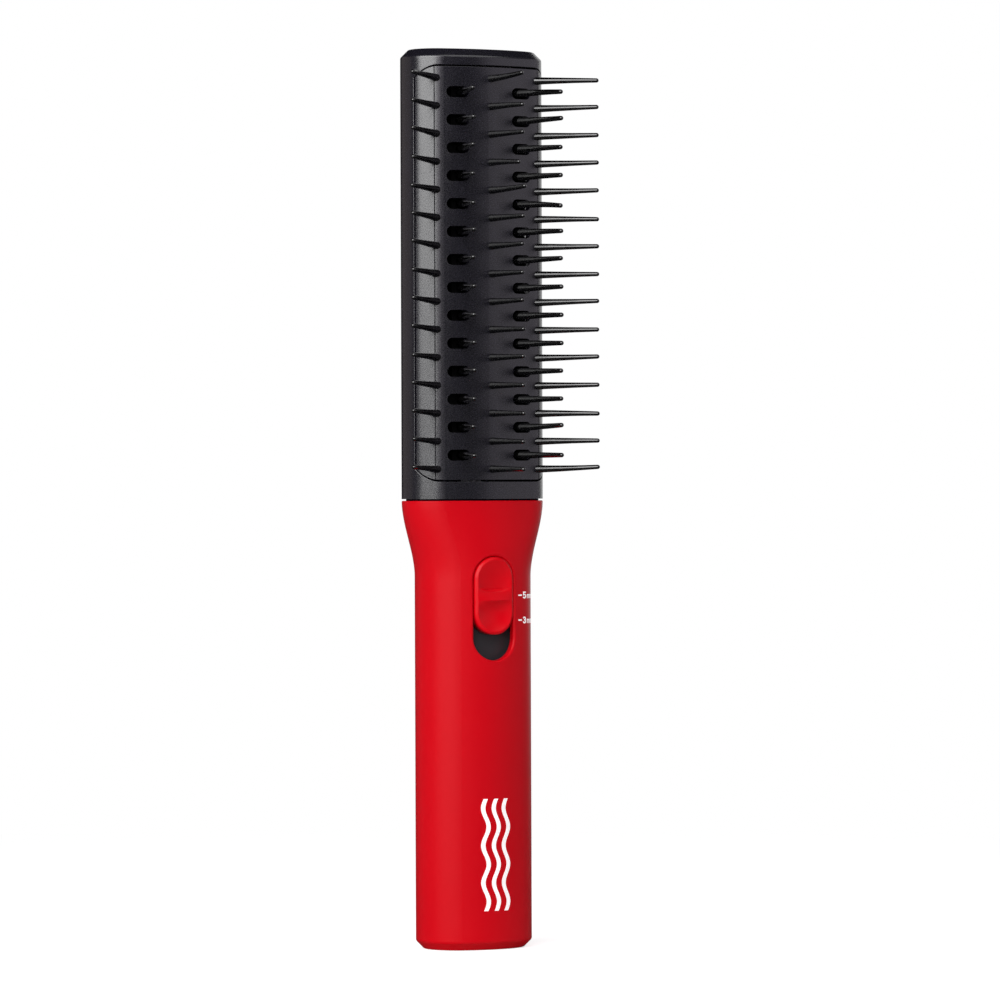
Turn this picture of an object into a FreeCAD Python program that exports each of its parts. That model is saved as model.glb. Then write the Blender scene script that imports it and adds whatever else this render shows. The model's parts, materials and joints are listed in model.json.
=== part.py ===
"""Adjustable styling brush: red handle, charcoal head and five columns of pins, two of which a slider moves.

Millimetres. The origin is the middle of the flat bottom end, +Z runs up the brush, and the pins face -Y.
Places are written as (across, out, up): across is +X, out is in front of the mid plane (-Y), up is +Z.
Every part is drawn at rest, with the slider up and the moving pins raised.
"""

import math
import os

import FreeCAD
import Part

Vector = FreeCAD.Vector

# Oval sections, as half width, half depth and the radius of the narrow ends.
HEAD_OVAL = (19.9, 10.8, 9.3)
HANDLE_OVAL = (15.84, 12.0, 11.0)

# Heights of the outside.
TOTAL_LENGTH = 235.0
SEAM_UP = 117.4
SEAM_GAP = 0.45
FLARE_UP = 97.2
FLARE_STEPS = 8
END_CHAMFER = 2.1
EDGE_ROUND = 0.8
MOUTH_ROUND = 0.3
LEVEL_TOLERANCE = 1e-4
SURFACE_TOLERANCE = 1e-3
SHARP_ANGLE = 10.0

# Shells.
HEAD_WALL = 1.8
HEAD_TOP_WALL = 2.8
HANDLE_WALL = 1.9
HANDLE_END_WALL = 4.2
LIP_WALL = 1.05
SKIRT_INSET = 1.15
SKIRT_WALL = 1.15
SKIRT_LENGTH = 10.0
BIG = 60.0
CUT_MARGIN = 1.0

# Pad that closes the front of the head.
PAD_WALL = 2.0
PAD_LOW = 122.15
PAD_HIGH = 230.6
PAD_HALF_WIDTH = 19.25
PAD_EDGE_OUT = 3.5
PAD_CORNER = 5.0
PAD_GAP = 0.38
PAD_ROUND = 0.15
PAD_BOSS_GAP = 0.05
PAD_LINE_ACROSS = 15.5
PAD_LINE_WIDTH = 0.22
PAD_LINE_DEPTH = 0.3

# Pins.
FIXED_ROWS = 15
FIXED_TOP_UP = 227.22
FIXED_LOW_UP = 125.4
PITCH = (FIXED_TOP_UP - FIXED_LOW_UP) / (FIXED_ROWS - 1)
SIDE_ACROSS = 15.1
SIDE_LEAN = 51.0
FIXED_LENGTH = 16.5
FIXED_RADII = (0.85, 0.5)
MOVING_ROWS = FIXED_ROWS - 1
MOVING_ACROSS = 8.4
MOVING_LEAN = 18.0
MOVING_LENGTH = 15.0
MOVING_RADII = (0.87, 0.45)
SHANK_RADIUS = 0.88
PIN_HOLE_RADIUS = 0.95
STRIP_THICK = 1.2
STRIP_END = 2.6
CENTRE_STRIP_HALF = 1.0
CENTRE_STRIP_OUT = 7.4
SIDE_STRIP_HALF = 1.3
SIDE_STRIP_DEPTH = 3.1
SLOT_ACROSS = 9.5
SLOT_LENGTH = 6.1
SLOT_HEIGHT = 2.9

# Slider and its travel.
SLIDER_TRAVEL = 6.6
LIFT_TRAVEL = 2.0
BUTTON_LENGTH = 20.25
BUTTON_WIDTH = 11.4
BUTTON_HIGH = 102.5
BUTTON_PROUD = 0.9
BUTTON_EDGE = 0.4
BUTTON_RIM = 0.95
BUTTON_LIFT = 0.1
DIMPLE_DEPTH = 1.3
RIDGE_ENDS = (-1.9, 1.2)
WINDOW_WIDTH = 11.8
WINDOW_CLEARANCE = 0.15
WINDOW_ROUND = 0.6
RIM_TOLERANCE = 0.05
LEG_OFFSET = 7.0
LEG_WIDTH = 4.0
LEG_THICK = 1.3
LEG_BARB = 0.5
LEG_ROOT = 0.5
LEG_TIP = 0.9
LEG_CLEARANCE = 0.1

# Slider base and the grooves that it runs in.
BASE_TOP_OUT = 8.0
BASE_TOP_HALF = 6.9
BASE_STEP_OUT = 5.8
BASE_HALF = 7.9
BASE_LOW_OUT = 3.0
TONGUE_HALF = 8.95
TONGUE_HIGH_OUT = 4.5
BASE_OVERLAP = 2.0
TAIL_HALF = 5.0
TAIL_LENGTH = 9.5
TAIL_LOW_OUT = -0.6

# Inner frame.
CHANNEL_HALF = 8.0
FLANGE_HALF = 10.0
WEB_BACK = -6.6
WEB_FRONT = -4.6
FLANGE_TOP = 6.2
FLANGE_TOP_UP = 113.0
GROOVE_CLEARANCE = 0.1
FOOT_UP = 4.3
FOOT_LENGTH = 10.0
NECK_GAP = 0.1
NECK_RISE = 0.8
NECK_SIDE_OUT = 2.0
TRAY_INSET = 1.95
TRAY_LOW_UP = 119.6
TRAY_WALL = 1.5
TRAY_SIDE_OUT = 2.6
TRAY_TOP_UP = 230.2
RAIL_INNER = 13.1
RAIL_WALL = 1.4
RIB_TOP_OUT = -5.2
RIB_THICK = 1.6
RIB_UPS = (154.5, 198.5, 226.0)
POST_ACROSS = 3.0
POST_RADIUS = 1.8
POST_BASE_RADIUS = 2.9
POST_BASE_OUT = -5.4
POST_TOP_OUT = 7.1
POST_ROWS = (1, 7, 13)
DETENT_RIB_HALF = 1.5
DETENT_RIB_TOP = 1.0
DETENT_RIB_PAST = 3.0
DETENT_UP = 86.0
DETENT_NOTCH_RADIUS = 1.6
DETENT_NOTCH_DEPTH = 0.4

# Cam frame, lifter and their dowels.
CAM_INNER = 11.0
CAM_OUTER = 13.0
CAM_BACK = -5.0
CAM_FRONT = 3.4
CAM_LOW = 125.2
CAM_HIGH = 228.0
TIE_BACK = -4.8
TIE_FRONT = -2.8
TIE_HEIGHT = 4.0
TIE_UPS = (CAM_LOW, 163.0, 193.0)
DOWEL_RADIUS = 1.0
DOWEL_FROM = 8.6
DOWEL_TO = 12.9
DOWEL_UPS = (145.0, 208.0)
CAM_CLEARANCE = 0.05
LIFTER_HALF = 9.4
LIFTER_BACK = 4.0
LIFTER_FRONT = 6.0
LIFTER_LOW = 126.3
LIFTER_HIGH = 227.0
LIFTER_HOLE_REACH = 8.0
DOWEL_FIT = 0.01
EAR_INNER = 8.4
EAR_OUTER = 10.6
EAR_BACK = -1.8
EAR_HALF_HEIGHT = 3.0
POST_CLEARANCE = 0.08
MOVING_STRIP_INNER = 4.95
MOVING_STRIP_OUTER = 7.75
MOVING_STRIP_FRONT = 3.95

# Rod between the slider base and the cam frame.
ROD_HALF = 3.0
ROD_BACK = -2.7
ROD_FRONT = -0.7
ROD_LOW = 102.0
TAIL_SCREW_UPS = (ROD_LOW + 2.0, ROD_LOW + 6.5)
ROD_HOLE_FIT = 0.05

# Detent leaf, drawn pressed flat enough to pass over its rib.
LEAF_HALF_LENGTH = 7.0
LEAF_HALF_WIDTH = 2.5
LEAF_THICK = 0.3
LEAF_LOW_OUT = 1.05
LEAF_END_OUT = 2.9

# Screws, as shank radius, head radius and head height.
PAD_SCREW = (0.8, 1.8, 1.3)
NECK_SCREW = (0.9, 1.8, 1.0)
ROD_SCREW = (0.7, 1.3, 0.7)
END_SCREW = (1.4, 2.7, 1.6)
END_SCREW_TIP_UP = 12.3
NECK_SCREW_ACROSS = 4.0
NECK_SCREW_UP = 112.6
SCREW_BITE = 1.2
SCREW_TIP_COVER = 0.2
SCREW_SUNK = 0.1
PAD_SCREW_SUNK = 0.4
SCREW_CLEARANCE = 0.15
PLUG_RADIUS = 4.0
PLUG_THICK = 1.3
PLUG_CLEARANCE = 0.05

# Printed marks.
PRINT_THICK = 0.06
MARK_UPS = (92.4, 85.9)
MARK_START = 7.9
MARK_LAYER_HALF = 2.0
DIGIT_HEIGHT = 1.5
DIGIT_STROKE = 0.36
LETTER_STROKE = 0.26
DIGIT_WIDEN = 1.35
WAVE_LOW = 10.3
WAVE_HIGH = 39.5
WAVE_COUNT = 3
WAVE_SPACING = 3.0
WAVE_WIDTH = 1.2
WAVE_SWING = 0.75
WAVE_PERIODS = 3.0
WAVE_STEPS = 24


def place(across, out, up):
    """The point at (across, out, up)."""
    return Vector(across, -out, up)


def block(across, out, up):
    """A box from three (low, high) pairs."""
    corner = place(across[0], out[1], up[0])
    return Part.makeBox(across[1] - across[0], out[1] - out[0], up[1] - up[0], corner)


def both_sides(across, out, up):
    """The same box on the right and on the left."""
    mirrored = (-across[1], -across[0])
    return [block(across, out, up), block(mirrored, out, up)]


def rod_out(radius, across, out, up):
    """A cylinder that runs along the out direction, from out[0] to out[1]."""
    return Part.makeCylinder(radius, out[1] - out[0], place(across, out[0], up), place(0, 1, 0))


def broad_radius(section):
    """Radius of an oval's two broad arcs, which run tangent into its narrow ends."""
    half_width, half_depth, end = section
    reach = half_width - end
    return (reach**2 + half_depth**2 - end**2) / (2 * (half_depth - end))


def inset(section, amount):
    """The section with its outline moved inwards everywhere by the same amount."""
    return tuple(size - amount for size in section)


def oval(section, up):
    """Closed wire of a flattened oval at a height."""
    half_width, half_depth, end = section
    broad = broad_radius(section)
    turn = math.atan2(half_width - end, broad - half_depth)
    join_across = broad * math.sin(turn)
    join_out = half_depth - broad * (1 - math.cos(turn))
    front = [(-join_across, join_out), (join_across, join_out)]
    back = [(join_across, -join_out), (-join_across, -join_out)]
    corners = front + back
    middles = [(0, half_depth), (half_width, 0), (0, -half_depth), (-half_width, 0)]
    edges = []
    for number, middle in enumerate(middles):
        start = corners[number]
        end_corner = corners[(number + 1) % len(corners)]
        arc = Part.Arc(place(*start, up), place(*middle, up), place(*end_corner, up))
        edges.append(arc.toShape())
    return Part.Wire(edges)


def oval_prism(section, low, high):
    """Straight oval column between two heights."""
    return Part.Face(oval(section, low)).extrude(Vector(0, 0, high - low))


def oval_taper(low_section, low, high_section, high):
    """Straight-sided step from one oval to another."""
    return Part.makeLoft([oval(low_section, low), oval(high_section, high)], True, True)


def round_levels(solid, radius, ups):
    """Round every level edge of a solid that lies at one of the heights."""
    rim = []
    for edge in solid.Edges:
        low, high = edge.BoundBox.ZMin, edge.BoundBox.ZMax
        if any(abs(low - up) < LEVEL_TOLERANCE > abs(high - up) for up in ups):
            rim.append(edge)
    return solid.makeFillet(radius, rim)


def surface_rim(solid, section, low, high):
    """Sharp edges of a solid that lie on an oval column's surface between two heights."""
    rim = []
    for edge in solid.Edges:
        box = edge.BoundBox
        if box.ZMin < low - SURFACE_TOLERANCE or box.ZMax > high + SURFACE_TOLERANCE:
            continue
        middle = edge.valueAt((edge.FirstParameter + edge.LastParameter) / 2)
        points = [vertex.Point for vertex in edge.Vertexes] + [middle]
        if any(abs(-point.y - surface_out(section, point.x)) > SURFACE_TOLERANCE for point in points):
            continue
        normals = []
        for face in solid.ancestorsOfType(edge, Part.Face):
            normals.append(face.normalAt(*face.Surface.parameter(middle)))
        if math.degrees(normals[0].getAngle(normals[1])) > SHARP_ANGLE:
            rim.append(edge)
    return rim


def handle_section(up, amount=0.0):
    """Handle section at a height: straight, then swelling smoothly to the head's section at the seam."""
    share = min(max((up - FLARE_UP) / (SEAM_UP - FLARE_UP), 0.0), 1.0)
    blend = share * share * (3 - 2 * share)
    full = [low + (high - low) * blend for low, high in zip(HANDLE_OVAL, HEAD_OVAL)]
    return inset(full, amount)


def handle_flare(amount, low, high):
    """Solid of the handle's swelling part, moved inwards by an amount, between two heights."""
    ups = [low + (high - low) * step / FLARE_STEPS for step in range(FLARE_STEPS + 1)]
    return Part.makeLoft([oval(handle_section(up, amount), up) for up in ups], True)


def surface_out(section, across):
    """How far out an oval's front surface is at a place across it."""
    half_width, half_depth, end = section
    broad = broad_radius(section)
    turn = math.atan2(half_width - end, broad - half_depth)
    if abs(across) <= broad * math.sin(turn):
        return half_depth - broad + math.sqrt(broad**2 - across**2)
    beyond = abs(across) - (half_width - end)
    return math.sqrt(end**2 - beyond**2)


def rounded_panel(half_width, low, high, radius, out):
    """Rounded rectangle in the front plane, extruded from out[0] to out[1]."""
    left, right = -half_width, half_width
    turn = radius * (1 - math.sqrt(0.5))

    def line(start, finish):
        return Part.makeLine(place(start[0], out[0], start[1]), place(finish[0], out[0], finish[1]))

    def arc(start, middle, finish):
        points = [place(across, out[0], up) for across, up in (start, middle, finish)]
        return Part.Arc(*points).toShape()

    edges = [
        line((left + radius, low), (right - radius, low)),
        arc((right - radius, low), (right - turn, low + turn), (right, low + radius)),
        line((right, low + radius), (right, high - radius)),
        arc((right, high - radius), (right - turn, high - turn), (right - radius, high)),
        line((right - radius, high), (left + radius, high)),
        arc((left + radius, high), (left + turn, high - turn), (left, high - radius)),
        line((left, high - radius), (left, low + radius)),
        arc((left, low + radius), (left + turn, low + turn), (left + radius, low)),
    ]
    return Part.Face(Part.Wire(edges)).extrude(place(0, out[1] - out[0], 0))


def obround(start, finish, radius, sweep):
    """Round-ended slot between two points, extruded along the sweep vector."""
    along = (finish - start).normalize()
    side = sweep.cross(along).normalize() * radius
    edges = [
        Part.makeLine(start + side, finish + side),
        Part.Arc(finish + side, finish + along * radius, finish - side).toShape(),
        Part.makeLine(finish - side, start - side),
        Part.Arc(start - side, start - along * radius, start + side).toShape(),
    ]
    return Part.Face(Part.Wire(edges)).extrude(sweep)


def lean_vector(lean):
    """Unit vector that leans from straight out towards +X by an angle in degrees."""
    angle = math.radians(lean)
    return place(math.sin(angle), math.cos(angle), 0)


def fixed_ups():
    """Heights of the fixed pin rows, from the top."""
    return [FIXED_TOP_UP - PITCH * row for row in range(FIXED_ROWS)]


def moving_ups():
    """Heights of the moving pin rows, halfway between the fixed ones."""
    return [FIXED_TOP_UP - PITCH * (row + 0.5) for row in range(MOVING_ROWS)]


def pin(surface_point, lean, length, radii, root):
    """One pin: a straight shank for root millimetres below the surface, then a taper and a round tip."""
    along = lean_vector(lean)
    base_radius, tip_radius = radii
    taper = length - tip_radius
    shank = Part.makeCylinder(SHANK_RADIUS, root, surface_point - along * root, along)
    body = Part.makeCone(base_radius, tip_radius, taper, surface_point, along)
    tip = Part.makeSphere(tip_radius, surface_point + along * taper)
    return shank.fuse([body, tip]).removeSplitter()


def centre_point(up):
    return place(0, HEAD_OVAL[1], up)


def side_point(side, up):
    return place(side * SIDE_ACROSS, surface_out(HEAD_OVAL, SIDE_ACROSS), up)


def moving_point(side, up):
    return place(side * MOVING_ACROSS, surface_out(HEAD_OVAL, MOVING_ACROSS), up)


def side_normal_lean():
    """Lean of the pad's own surface under the side pins."""
    reach = HEAD_OVAL[0] - HEAD_OVAL[2]
    return math.degrees(math.asin((SIDE_ACROSS - reach) / HEAD_OVAL[2]))


def pin_holes():
    """Round holes through the pad for the three fixed columns."""
    holes = []
    reach = 2 * PAD_WALL
    for up in fixed_ups():
        columns = [(centre_point(up), 0.0)]
        columns += [(side_point(side, up), side * SIDE_LEAN) for side in (-1, 1)]
        for point, lean in columns:
            along = lean_vector(lean)
            holes.append(Part.makeCylinder(PIN_HOLE_RADIUS, 2 * reach, point - along * reach, along))
    return holes


def pin_slots():
    """Slots through the pad, long across the face, for the two moving columns."""
    slots = []
    half = (SLOT_LENGTH - SLOT_HEIGHT) / 2
    for up in moving_ups():
        for side in (-1, 1):
            start = place(side * SLOT_ACROSS - half, PAD_EDGE_OUT, up)
            finish = place(side * SLOT_ACROSS + half, PAD_EDGE_OUT, up)
            slots.append(obround(start, finish, SLOT_HEIGHT / 2, place(0, HEAD_OVAL[1], 0)))
    return slots


def post_places():
    """Across and up of the frame's six posts, level with three of the fixed rows."""
    ups = fixed_ups()
    return [(side * POST_ACROSS, ups[row]) for row in POST_ROWS for side in (-1, 1)]


def window_length():
    return BUTTON_LENGTH + SLIDER_TRAVEL + 2 * WINDOW_CLEARANCE


def window_low():
    return BUTTON_HIGH + WINDOW_CLEARANCE - window_length()


def head_shell():
    """Closed-top shell with a wide front opening and a skirt that the handle slides over."""
    low = SEAM_UP + SEAM_GAP / 2
    shoulder = TOTAL_LENGTH - END_CHAMFER
    outside = oval_prism(HEAD_OVAL, low, shoulder)
    top = oval_taper(HEAD_OVAL, shoulder, inset(HEAD_OVAL, END_CHAMFER), TOTAL_LENGTH)
    skirt = handle_flare(SKIRT_INSET, SEAM_UP - SKIRT_LENGTH, SEAM_UP)
    skirt = skirt.fuse(oval_prism(handle_section(SEAM_UP, SKIRT_INSET), SEAM_UP, low))
    cavity = oval_prism(inset(HEAD_OVAL, HEAD_WALL), low + HEAD_WALL, TOTAL_LENGTH - HEAD_TOP_WALL)
    throat = handle_flare(SKIRT_INSET + SKIRT_WALL, SEAM_UP - SKIRT_LENGTH, SEAM_UP)
    neck_inset = SKIRT_INSET + SKIRT_WALL
    neck = oval_prism(handle_section(SEAM_UP, neck_inset), SEAM_UP, low + HEAD_WALL)
    window = rounded_panel(PAD_HALF_WIDTH, PAD_LOW, PAD_HIGH, PAD_CORNER, (PAD_EDGE_OUT, BIG))
    cuts = [cavity, throat, neck] + neck_screw_holes()
    outside = round_levels(outside.fuse(top).removeSplitter(), EDGE_ROUND, (shoulder, TOTAL_LENGTH))
    outside = outside.cut(window)
    outside = outside.makeFillet(PAD_ROUND, surface_rim(outside, HEAD_OVAL, PAD_LOW, PAD_HIGH))
    return outside.fuse(skirt).cut(cuts).removeSplitter()


def neck_screw_seat():
    """How far back the neck screws' heads lie, just under the skirt's surface."""
    skirt = handle_section(NECK_SCREW_UP, SKIRT_INSET)
    return SCREW_SUNK - surface_out(skirt, NECK_SCREW_ACROSS)


def neck_screw_holes():
    """Countersunk clearance holes in the back of the skirt."""
    shank, head, height = NECK_SCREW
    wide, narrow = head + SCREW_CLEARANCE, shank + SCREW_CLEARANCE
    seat = neck_screw_seat()
    holes = []
    for side in (-1, 1):
        across = side * NECK_SCREW_ACROSS
        mouth = rod_out(wide, across, (seat - CUT_MARGIN, seat), NECK_SCREW_UP)
        cone = Part.makeCone(wide, narrow, height, place(across, seat, NECK_SCREW_UP), place(0, 1, 0))
        through = rod_out(narrow, across, (seat, seat + 2 * SKIRT_WALL), NECK_SCREW_UP)
        holes += [mouth, cone, through]
    return holes


def neck_screws():
    """Two countersunk screws that hold the frame's neck inside the skirt."""
    shank, head, height = NECK_SCREW
    seat = neck_screw_seat()
    screws = []
    for side in (-1, 1):
        across = side * NECK_SCREW_ACROSS
        cone = Part.makeCone(head, shank, height, place(across, seat, NECK_SCREW_UP), place(0, 1, 0))
        stem = rod_out(shank, across, (seat + height, WEB_FRONT - 2 * SCREW_TIP_COVER), NECK_SCREW_UP)
        screws.append(cone.fuse(stem))
    return Part.makeCompound(screws)


def pin_pad():
    """Curved front panel, flush with the shell, with its pin holes, slots and screw bosses."""
    outside = oval_prism(HEAD_OVAL, PAD_LOW, PAD_HIGH)
    inside = oval_prism(inset(HEAD_OVAL, PAD_WALL), PAD_LOW, PAD_HIGH)
    low, high = PAD_LOW + PAD_GAP, PAD_HIGH - PAD_GAP
    front = (PAD_EDGE_OUT + PAD_GAP, BIG)
    outline = rounded_panel(PAD_HALF_WIDTH, low, high, PAD_CORNER - PAD_GAP, front)
    pad = outside.cut(inside).common(outline)
    pad = pad.makeFillet(PAD_ROUND, surface_rim(pad, HEAD_OVAL, low, high))
    bosses = []
    bores = []
    for across, up in post_places():
        inner = surface_out(inset(HEAD_OVAL, PAD_WALL), across)
        bosses.append(rod_out(POST_RADIUS, across, (POST_TOP_OUT + PAD_BOSS_GAP, inner + PAD_WALL / 2), up))
        bore_end = POST_TOP_OUT + SCREW_BITE + SCREW_TIP_COVER
        bores.append(rod_out(PAD_SCREW[0], across, (POST_TOP_OUT, bore_end), up))
    lines = []
    for side in (-1, 1):
        across = side * PAD_LINE_ACROSS
        floor_out = surface_out(HEAD_OVAL, PAD_LINE_ACROSS) - PAD_LINE_DEPTH
        half = PAD_LINE_WIDTH / 2
        lines.append(block((across - half, across + half), (floor_out, BIG), (PAD_LOW, PAD_HIGH)))
    pad = pad.fuse(bosses)
    return pad.cut(bores + lines + pin_holes() + pin_slots()).removeSplitter()


def fixed_pins_centre():
    """Middle column: one strip with fifteen pins that stand straight out."""
    root = HEAD_OVAL[1] - CENTRE_STRIP_OUT - STRIP_THICK / 2
    low, high = FIXED_LOW_UP - STRIP_END, FIXED_TOP_UP + STRIP_END
    out = (CENTRE_STRIP_OUT, CENTRE_STRIP_OUT + STRIP_THICK)
    strip = block((-CENTRE_STRIP_HALF, CENTRE_STRIP_HALF), out, (low, high))
    pins = [pin(centre_point(up), 0.0, FIXED_LENGTH, FIXED_RADII, root) for up in fixed_ups()]
    return strip.fuse(pins).removeSplitter()


def fixed_pins_side(side):
    """Side column: one strip, lying along the pad's curve, with fifteen pins that lean outwards."""
    surface_lean = side_normal_lean()
    root = SIDE_STRIP_DEPTH / math.cos(math.radians(SIDE_LEAN - surface_lean))
    low, high = FIXED_LOW_UP - STRIP_END, FIXED_TOP_UP + STRIP_END
    middle = side_point(side, low) - lean_vector(side * SIDE_LEAN) * root
    corner = place(-SIDE_STRIP_HALF, STRIP_THICK / 2, 0)
    strip = Part.makeBox(2 * SIDE_STRIP_HALF, STRIP_THICK, high - low, corner)
    strip.rotate(Vector(0, 0, 0), Vector(0, 0, 1), side * surface_lean)
    strip.translate(middle)
    pins = []
    for up in fixed_ups():
        pins.append(pin(side_point(side, up), side * SIDE_LEAN, FIXED_LENGTH, FIXED_RADII, root))
    return strip.fuse(pins).removeSplitter()


def moving_pins(side):
    """Moving column: a strip under the lifter plate with fourteen pins that come up through it."""
    point_out = surface_out(HEAD_OVAL, MOVING_ACROSS)
    drop = point_out - MOVING_STRIP_FRONT + STRIP_THICK / 2
    root = drop / math.cos(math.radians(MOVING_LEAN))
    across = sorted((side * MOVING_STRIP_INNER, side * MOVING_STRIP_OUTER))
    out = (MOVING_STRIP_FRONT - STRIP_THICK, MOVING_STRIP_FRONT)
    strip = block(across, out, (LIFTER_LOW, LIFTER_HIGH))
    pins = []
    for up in moving_ups():
        pins.append(pin(moving_point(side, up), side * MOVING_LEAN, MOVING_LENGTH, MOVING_RADII, root))
    return strip.fuse(pins).removeSplitter()


def pin_lifter():
    """Plate that carries the moving pins, with ears for the cam dowels and holes that run on the posts."""
    plate = block((-LIFTER_HALF, LIFTER_HALF), (LIFTER_BACK, LIFTER_FRONT), (LIFTER_LOW, LIFTER_HIGH))
    ears = []
    cuts = []
    for up in DOWEL_UPS:
        height = (up - EAR_HALF_HEIGHT, up + EAR_HALF_HEIGHT)
        ears += both_sides((EAR_INNER, EAR_OUTER), (EAR_BACK, LIFTER_FRONT), height)
        for side in (-1, 1):
            cuts.append(dowel(side, up, DOWEL_RADIUS + DOWEL_FIT))
    for across, up in post_places():
        cuts.append(rod_out(POST_RADIUS + POST_CLEARANCE, across, (LIFTER_BACK, LIFTER_FRONT), up))
    for up in moving_ups():
        for side in (-1, 1):
            along = lean_vector(side * MOVING_LEAN)
            start = moving_point(side, up) - along * LIFTER_HOLE_REACH
            cuts.append(Part.makeCylinder(PIN_HOLE_RADIUS, LIFTER_HOLE_REACH, start, along))
    return plate.fuse(ears).cut(cuts).removeSplitter()


def dowel(side, up, radius):
    """Short pin from a lifter ear into the cam frame."""
    start = place(side * DOWEL_FROM, 0, up)
    return Part.makeCylinder(radius, DOWEL_TO - DOWEL_FROM, start, Vector(side, 0, 0))


def cam_pins():
    """Four steel dowels that follow the cam slots."""
    return Part.makeCompound([dowel(side, up, DOWEL_RADIUS) for up in DOWEL_UPS for side in (-1, 1)])


def cam_frame():
    """Ladder of two bars and three ties, with four slanted slots that push the dowels out as it rises."""
    bars = both_sides((CAM_INNER, CAM_OUTER), (CAM_BACK, CAM_FRONT), (CAM_LOW, CAM_HIGH))
    ties = []
    reach = (CAM_INNER + CAM_OUTER) / 2
    for low in TIE_UPS:
        ties.append(block((-reach, reach), (TIE_BACK, TIE_FRONT), (low, low + TIE_HEIGHT)))
    slots = []
    for up in DOWEL_UPS:
        for side in (-1, 1):
            from_across = side * (CAM_INNER - CUT_MARGIN)
            start = place(from_across, 0, up)
            finish = place(from_across, -LIFT_TRAVEL, up + SLIDER_TRAVEL)
            ends = (finish - start).normalize() * CAM_CLEARANCE
            sweep = Vector(side * (CAM_OUTER - CAM_INNER + 2 * CUT_MARGIN), 0, 0)
            slots.append(obround(start - ends, finish + ends, DOWEL_RADIUS + CAM_CLEARANCE, sweep))
    holes = []
    for across, up in tie_screw_places():
        holes.append(rod_out(ROD_SCREW[0], across, (TIE_BACK, TIE_FRONT), up))
    return bars[0].fuse([bars[1]] + ties).cut(slots + holes).removeSplitter()


def tie_screw_places():
    return [(side * ROD_HALF / 2, CAM_LOW + TIE_HEIGHT / 2) for side in (-1, 1)]


def tail_screw_places():
    return [(0, up) for up in TAIL_SCREW_UPS]


def slide_rod():
    """Flat steel bar from the slider base up to the cam frame's lowest tie."""
    bar = block((-ROD_HALF, ROD_HALF), (ROD_BACK, ROD_FRONT), (ROD_LOW, CAM_LOW + TIE_HEIGHT))
    holes = []
    for across, up in tie_screw_places() + tail_screw_places():
        holes.append(rod_out(ROD_SCREW[0] + ROD_HOLE_FIT, across, (ROD_BACK, ROD_FRONT), up))
    return bar.cut(holes)


def rod_screws():
    """Two screws into the cam frame's tie, and two from behind into the slider base's tail."""
    shank, head, height = ROD_SCREW
    screws = []
    for across, up in tie_screw_places():
        cap = rod_out(head, across, (ROD_FRONT, ROD_FRONT + height), up)
        screws.append(cap.fuse(rod_out(shank, across, (TIE_BACK + SCREW_TIP_COVER, ROD_FRONT), up)))
    for across, up in tail_screw_places():
        cap = rod_out(head, across, (ROD_BACK - height, ROD_BACK), up)
        screws.append(cap.fuse(rod_out(shank, across, (ROD_BACK, BASE_LOW_OUT - SCREW_TIP_COVER), up)))
    return Part.makeCompound(screws)


def base_ups():
    """Low and high end of the slider base, which covers the window at both ends of its travel."""
    return window_low() - BASE_OVERLAP, BUTTON_HIGH + SLIDER_TRAVEL + BASE_OVERLAP


def leg_ups():
    middle = BUTTON_HIGH - BUTTON_LENGTH / 2
    return [middle - LEG_OFFSET, middle + LEG_OFFSET]


def slider_base():
    """Dark plate under the window, with tongues that run in the frame's grooves and a tail for the rod."""
    low, high = base_ups()
    top = block((-BASE_TOP_HALF, BASE_TOP_HALF), (BASE_STEP_OUT, BASE_TOP_OUT), (low, high))
    body = block((-BASE_HALF, BASE_HALF), (BASE_LOW_OUT, BASE_STEP_OUT), (low, high))
    tongues = block((-TONGUE_HALF, TONGUE_HALF), (BASE_LOW_OUT, TONGUE_HIGH_OUT), (low, high))
    tail = block((-TAIL_HALF, TAIL_HALF), (TAIL_LOW_OUT, BASE_LOW_OUT), (high - TAIL_LENGTH, high))
    cuts = []
    for up in leg_ups():
        half = LEG_WIDTH / 2 + LEG_CLEARANCE
        half_height = LEG_THICK / 2 + LEG_CLEARANCE
        height = (up - half_height, up + half_height)
        cuts.append(block((-half, half), (BASE_LOW_OUT, BASE_TOP_OUT), height))
    for across, up in tail_screw_places():
        cuts.append(rod_out(ROD_SCREW[0], across, (TAIL_LOW_OUT, BASE_LOW_OUT), up))
    return top.fuse([body, tongues, tail]).cut(cuts).removeSplitter()


def button_section():
    """Section of the button's crowned top, which stands proud of the handle by the same amount all over."""
    return inset(HANDLE_OVAL, -BUTTON_PROUD)


def dimple(direction):
    """Thumb scoop above or below the ridge: deepest beside the ridge, running out towards the end."""
    middle = BUTTON_HIGH - BUTTON_LENGTH / 2
    radius = BUTTON_WIDTH / 2 - BUTTON_RIM
    reach = BUTTON_LENGTH / 2 - BUTTON_RIM - radius
    outline = obround(place(0, 0, middle - reach), place(0, 0, middle + reach), radius, place(0, BIG, 0))
    start_up = RIDGE_ENDS[direction > 0]
    span = sorted((start_up, direction * BUTTON_LENGTH / 2))
    half = block((-BUTTON_WIDTH, BUTTON_WIDTH), (0, BIG), (middle + span[0], middle + span[1]))
    length = BUTTON_LENGTH / 2 - abs(start_up) - BUTTON_RIM
    scoop_radius = (length**2 + DIMPLE_DEPTH**2) / (2 * DIMPLE_DEPTH)
    out = button_section()[1] + scoop_radius - DIMPLE_DEPTH
    start = place(-BUTTON_WIDTH, out, middle + start_up)
    scoop = Part.makeCylinder(scoop_radius, 2 * BUTTON_WIDTH, start, Vector(1, 0, 0))
    return scoop.common(outline).common(half)


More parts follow.
